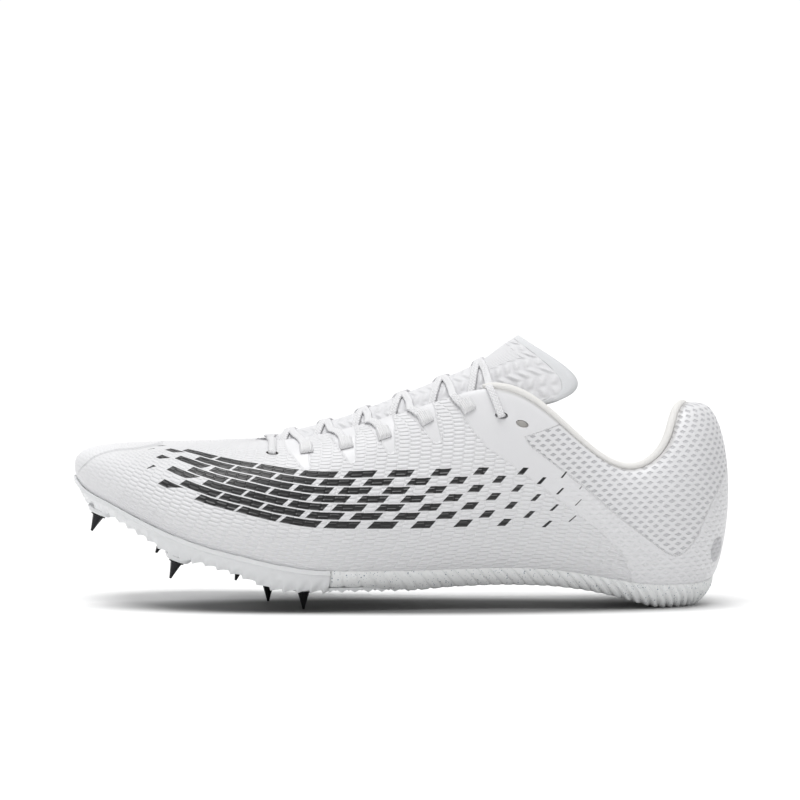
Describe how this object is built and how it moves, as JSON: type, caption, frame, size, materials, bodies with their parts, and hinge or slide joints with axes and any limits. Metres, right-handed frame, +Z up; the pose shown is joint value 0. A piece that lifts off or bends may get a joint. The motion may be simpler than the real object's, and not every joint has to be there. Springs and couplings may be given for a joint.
{
  "type": "track spike shoe",
  "caption": "Low white sprint track spike, left foot, with clear studded forefoot plate, ribbed foam heel, knit collar, padded tongue and crossed laces",
  "frame": {"origin": "centre of the bounding box's bottom face, on the floor under the shoe", "axes": "+X from toe to heel, +Y towards the inner side of the foot, +Z up"},
  "size_m": [0.2879, 0.0958, 0.118],
  "materials": {
    "coated_mesh": "white mesh under a thin satin film with a brick-like emboss",
    "binding_knit": "soft warm-white rolled knit edge",
    "tongue_mesh": "quilted white mesh",
    "insole_cloth": "matt light grey cloth",
    "speckled_foam": "white foam with grey specks",
    "clear_plate": "milky translucent plastic",
    "black_spike": "black coated steel",
    "lace_weave": "flat white bumpy weave"
  },
  "bodies": {
    "root": {"upper": "coated_mesh", "collar_binding": "binding_knit", "tongue": "tongue_mesh", "insole": "insole_cloth", "midsole": "speckled_foam", "spike_plate": "clear_plate", "spike_outer_1": "black_spike", "spike_outer_2": "black_spike", "spike_outer_3": "black_spike", "spike_centre": "black_spike", "spike_inner_1": "black_spike", "spike_inner_2": "black_spike", "spike_inner_3": "black_spike", "lace_cross_1": "lace_weave", "lace_cross_2": "lace_weave", "lace_cross_3": "lace_weave", "lace_cross_4": "lace_weave", "lace_cross_5": "lace_weave", "lace_cross_6": "lace_weave"}
  },
  "joints": []
}
